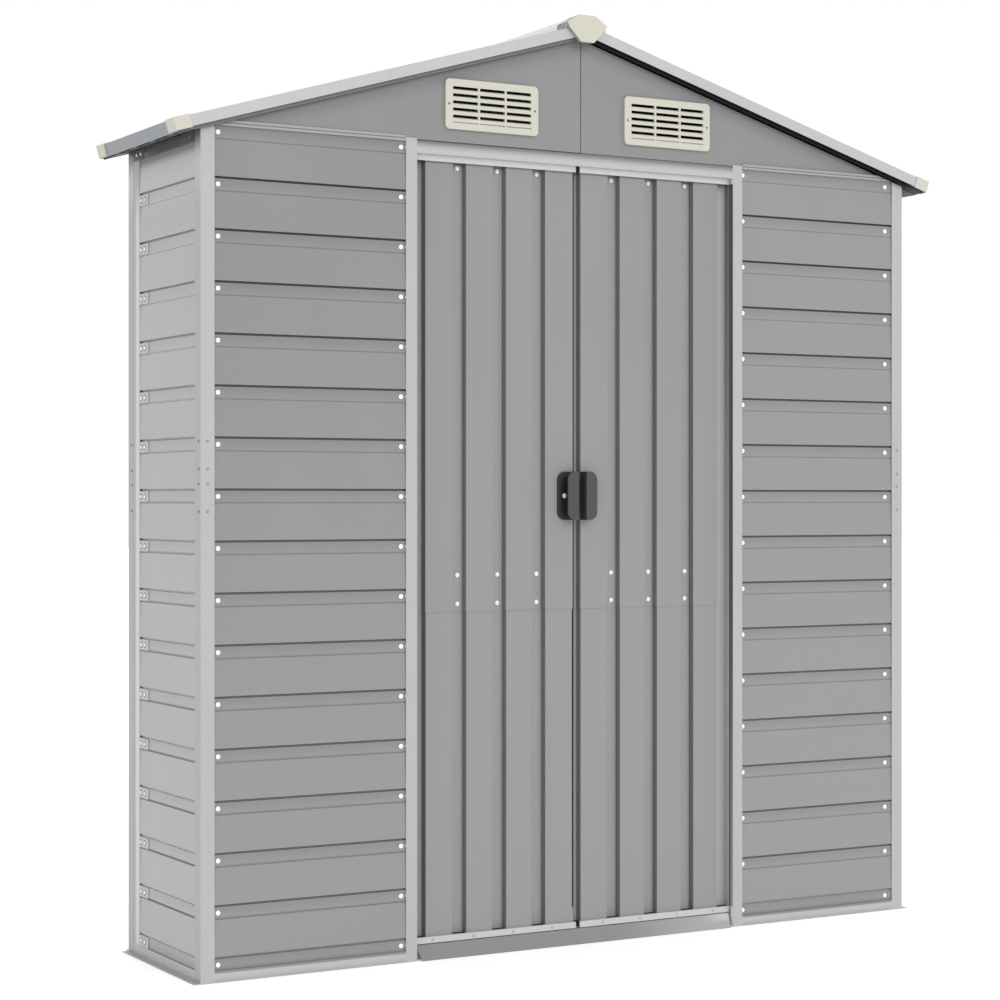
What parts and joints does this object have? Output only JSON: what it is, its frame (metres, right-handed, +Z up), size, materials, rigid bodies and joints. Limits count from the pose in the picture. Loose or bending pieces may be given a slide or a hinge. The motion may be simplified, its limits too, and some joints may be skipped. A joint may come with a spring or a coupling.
{
  "type": "grey metal storage shed",
  "caption": "Narrow grey metal storage shed with lapped siding, a pitched roof, louvred gable vents and a pair of grooved doors that slide apart behind the front walls.",
  "frame": {"origin": "middle of the footprint, on the ground", "axes": "+Z up, +X to the viewer's right along the front, +Y from the front to the back"},
  "size_m": [1.907, 0.454, 2.0126],
  "materials": {
    "grey_sheet": "satin",
    "galvanised_frame": "satin",
    "roof_trim": "satin",
    "cream_plastic": "matt",
    "black_plastic": "matt"
  },
  "bodies": {
    "shed": {"base_front_left": "galvanised_frame", "base_front_right": "galvanised_frame", "base_left": "galvanised_frame", "base_right": "galvanised_frame", "base_back": "galvanised_frame", "post_front_left": "galvanised_frame", "post_front_right": "galvanised_frame", "post_back_left": "galvanised_frame", "post_back_right": "galvanised_frame", "jamb_left": "galvanised_frame", "jamb_right": "galvanised_frame", "front_wall_left": "grey_sheet", "front_wall_right": "grey_sheet", "left_wall": "grey_sheet", "right_wall": "grey_sheet", "back_wall": "grey_sheet", "top_rail_front": "galvanised_frame", "top_rail_back": "galvanised_frame", "eave_rail_left": "galvanised_frame", "eave_rail_right": "galvanised_frame", "door_header": "galvanised_frame", "door_sill": "galvanised_frame", "door_ramp": "grey_sheet", "gable_front_left": "grey_sheet", "gable_front_right": "grey_sheet", "gable_back_left": "grey_sheet", "gable_back_right": "grey_sheet", "vent_left": "cream_plastic", "vent_right": "cream_plastic", "roof_left": "grey_sheet", "roof_right": "grey_sheet", "ridge_strip": "roof_trim", "rake_front": "roof_trim", "rake_back": "roof_trim", "eave_left": "roof_trim", "eave_right": "roof_trim", "ridge_cap_front": "cream_plastic", "ridge_cap_back": "cream_plastic", "corner_caps_left": "cream_plastic", "corner_caps_right": "cream_plastic"},
    "left_door": {"left_door_upper": "grey_sheet", "left_door_lower": "grey_sheet", "left_door_rails": "galvanised_frame", "left_handle": "black_plastic"},
    "right_door": {"right_door_upper": "grey_sheet", "right_door_lower": "grey_sheet", "right_door_rails": "galvanised_frame", "right_handle": "black_plastic"}
  },
  "joints": [
    {"name": "left_door_slide", "type": "slide", "parent": "shed", "child": "left_door", "axis": [-1, 0, 0], "range_m": [0, 0.345]},
    {"name": "right_door_slide", "type": "slide", "parent": "shed", "child": "right_door", "axis": [1, 0, 0], "range_m": [0, 0.345]}
  ]
}
